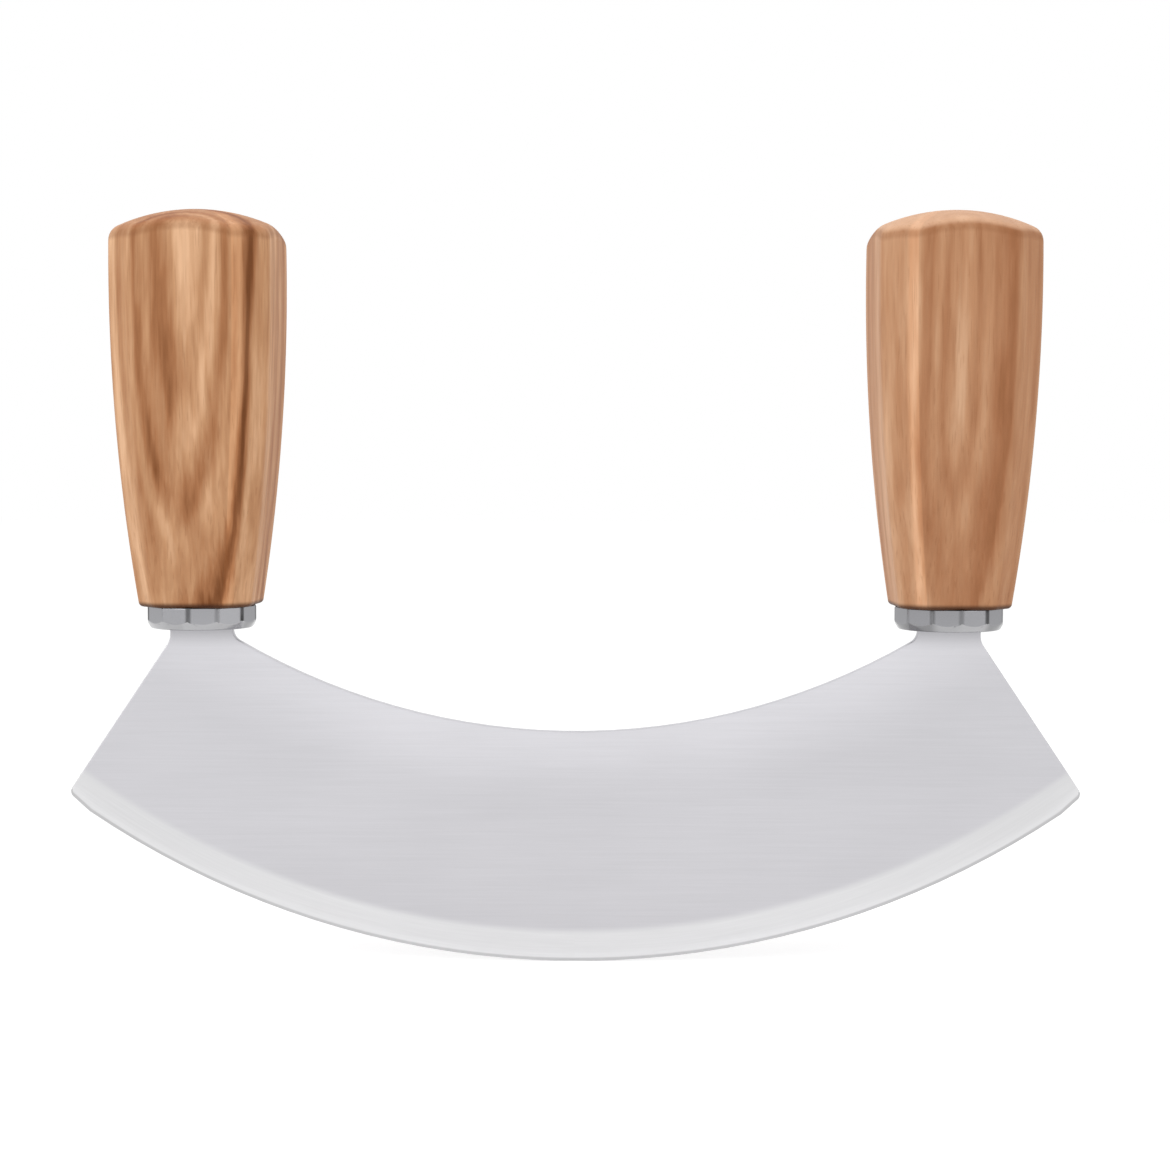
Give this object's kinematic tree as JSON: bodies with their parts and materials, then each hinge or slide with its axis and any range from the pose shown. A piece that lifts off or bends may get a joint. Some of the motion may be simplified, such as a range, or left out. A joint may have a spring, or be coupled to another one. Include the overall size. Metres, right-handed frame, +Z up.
{
  "type": "mezzaluna",
  "caption": "Rocking herb knife with an arched steel blade, ground along its curved edge, and an upright faceted wooden handle with a steel ferrule at each end.",
  "frame": {"origin": "lowest point of the cutting edge, at the middle of the blade's length and thickness", "axes": "+X along the blade towards the right handle as pictured, +Y through the blade away from the viewer, +Z up along the handles"},
  "size_m": [0.2, 0.032, 0.1482],
  "materials": {
    "blade_steel": "satin, brushed along the blade",
    "ferrule_steel": "polished",
    "handle_wood": "oiled, satin",
    "adhesive": "set epoxy, hidden inside the handles"
  },
  "bodies": {
    "root": {"blade": "blade_steel", "left_ferrule": "ferrule_steel", "right_ferrule": "ferrule_steel", "left_handle": "handle_wood", "right_handle": "handle_wood", "left_tang_glue": "adhesive", "right_tang_glue": "adhesive"}
  },
  "joints": []
}
